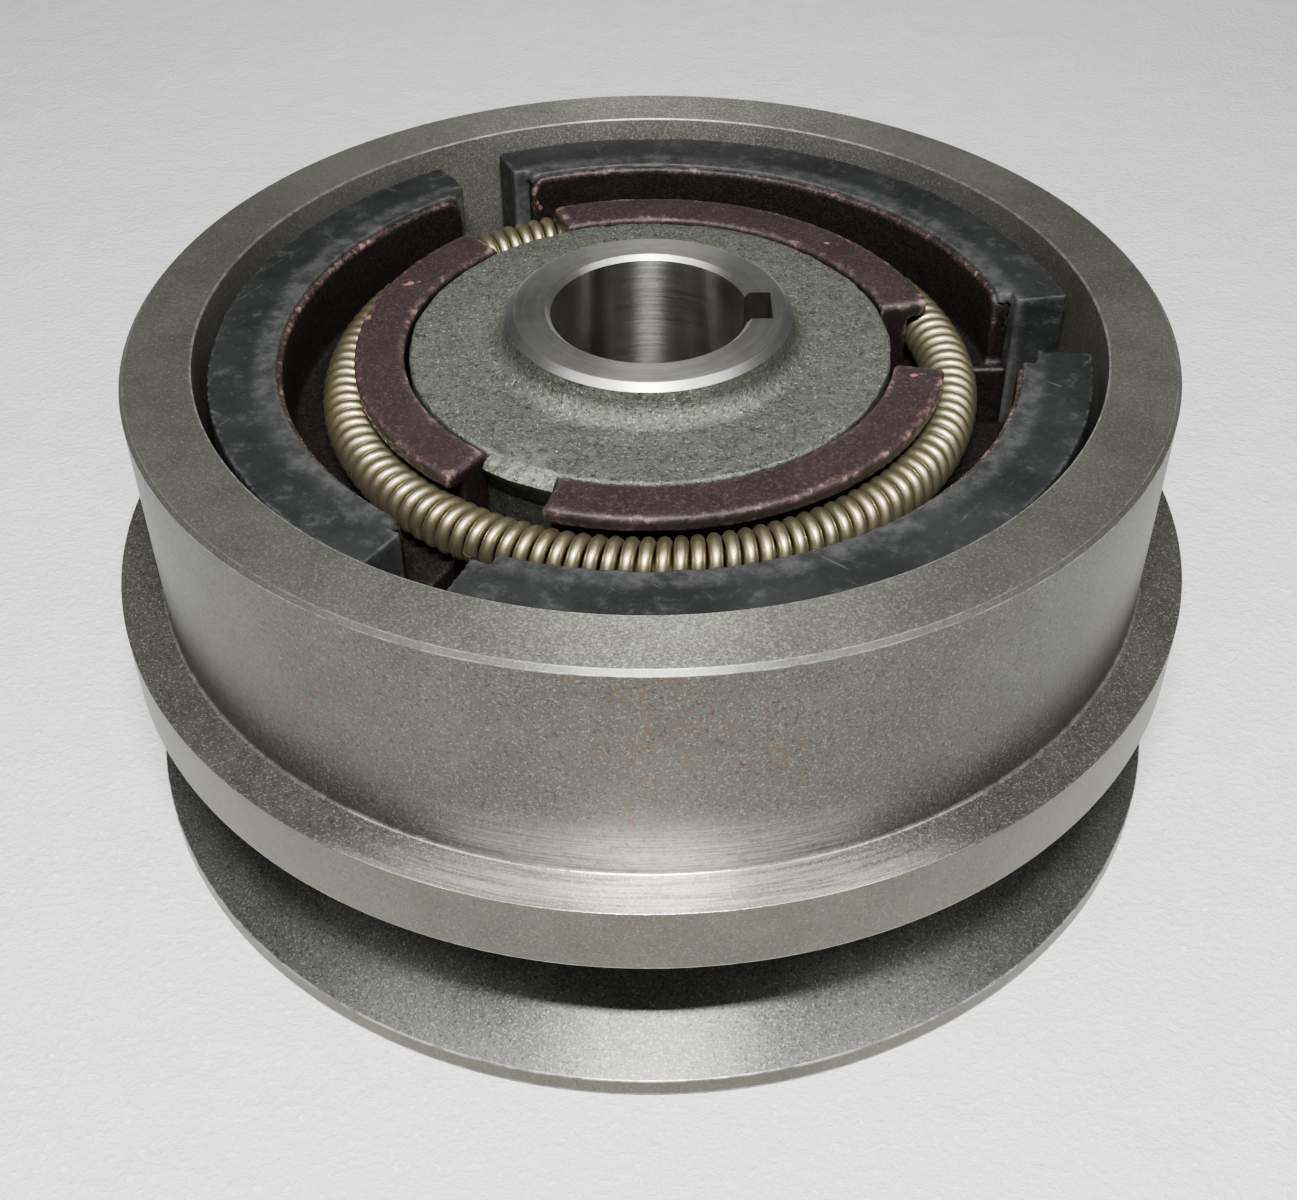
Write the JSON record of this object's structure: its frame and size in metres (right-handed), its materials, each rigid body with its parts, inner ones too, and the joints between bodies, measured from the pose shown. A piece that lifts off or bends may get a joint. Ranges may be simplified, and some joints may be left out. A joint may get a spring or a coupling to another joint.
{
  "type": "centrifugal clutch",
  "caption": "Centrifugal clutch: a keyed hub with lined shoes held in by a garter spring, inside a drum cast in one piece with a V-belt pulley.",
  "frame": {"origin": "on the shaft axis at the pulley's lower face, the centre of the bounding box's bottom", "axes": "+Z along the shaft to the drum's open side, +X through the keyway"},
  "size_m": [0.114, 0.114, 0.0525],
  "materials": {
    "cast_iron": "turned, fine sandy grain with light rust specks",
    "hub_iron": "sand cast disc, bright turned boss and bore",
    "shoe_paint": "matt purple-brown primer, worn at the edges",
    "lining": "moulded friction lining, scratched and dusty",
    "spring_steel": "drawn wire with a pale brassy tint",
    "bearing_steel": "ground",
    "cage_steel": "pressed",
    "ground_steel": "ground",
    "black_steel": "phosphated spring steel",
    "seal_rubber": "moulded rubber"
  },
  "bodies": {
    "pulley": {"drum_pulley": "cast_iron", "outer_spacer": "ground_steel", "internal_circlip": "black_steel", "lower_bearing_outer_ring": "bearing_steel", "lower_bearing_bottom_seal": "seal_rubber", "lower_bearing_top_seal": "seal_rubber", "upper_bearing_outer_ring": "bearing_steel", "upper_bearing_bottom_seal": "seal_rubber", "upper_bearing_top_seal": "seal_rubber"},
    "hub": {"hub": "hub_iron", "inner_spacer": "ground_steel", "thrust_washer": "ground_steel", "external_circlip": "black_steel", "garter_spring": "spring_steel", "lower_bearing_inner_ring": "bearing_steel", "upper_bearing_inner_ring": "bearing_steel"},
    "lower_cage": {"lower_bearing_balls": "bearing_steel", "lower_bearing_cage": "cage_steel"},
    "upper_cage": {"upper_bearing_balls": "bearing_steel", "upper_bearing_cage": "cage_steel"},
    "shoe_1": {"shoe_core_1": "shoe_paint", "lining_1": "lining"},
    "shoe_2": {"shoe_core_2": "shoe_paint", "lining_2": "lining"},
    "shoe_3": {"shoe_core_3": "shoe_paint", "lining_3": "lining"}
  },
  "joints": [
    {"name": "hub_spin", "type": "hinge", "parent": "pulley", "child": "hub", "pos_m": [0, 0, 0.02], "axis": [0, 0, 1], "continuous": true},
    {"name": "lower_cage_spin", "type": "hinge", "parent": "pulley", "child": "lower_cage", "pos_m": [0, 0, 0.009], "axis": [0, 0, 1], "continuous": true},
    {"name": "upper_cage_spin", "type": "hinge", "parent": "pulley", "child": "upper_cage", "pos_m": [0, 0, 0.02], "axis": [0, 0, 1], "continuous": true},
    {"name": "shoe_1_slide", "type": "slide", "parent": "hub", "child": "shoe_1", "axis": [0.5, 0.866, 0], "range_m": [0, 0.00095], "stiffness_N_per_m": 3000, "springref_m": -0.002, "deforming": ["garter_spring"]},
    {"name": "shoe_2_slide", "type": "slide", "parent": "hub", "child": "shoe_2", "axis": [-1, 0, 0], "range_m": [0, 0.00095], "stiffness_N_per_m": 3000, "springref_m": -0.002},
    {"name": "shoe_3_slide", "type": "slide", "parent": "hub", "child": "shoe_3", "axis": [0.5, -0.866, 0], "range_m": [0, 0.00095], "stiffness_N_per_m": 3000, "springref_m": -0.002}
  ],
  "couplings": [
    {"joint": "lower_cage_spin", "follows": "hub_spin", "ratio": 0.43818},
    {"joint": "upper_cage_spin", "follows": "hub_spin", "ratio": 0.43818},
    {"joint": "shoe_2_slide", "follows": "shoe_1_slide", "ratio": 1},
    {"joint": "shoe_3_slide", "follows": "shoe_1_slide", "ratio": 1}
  ]
}
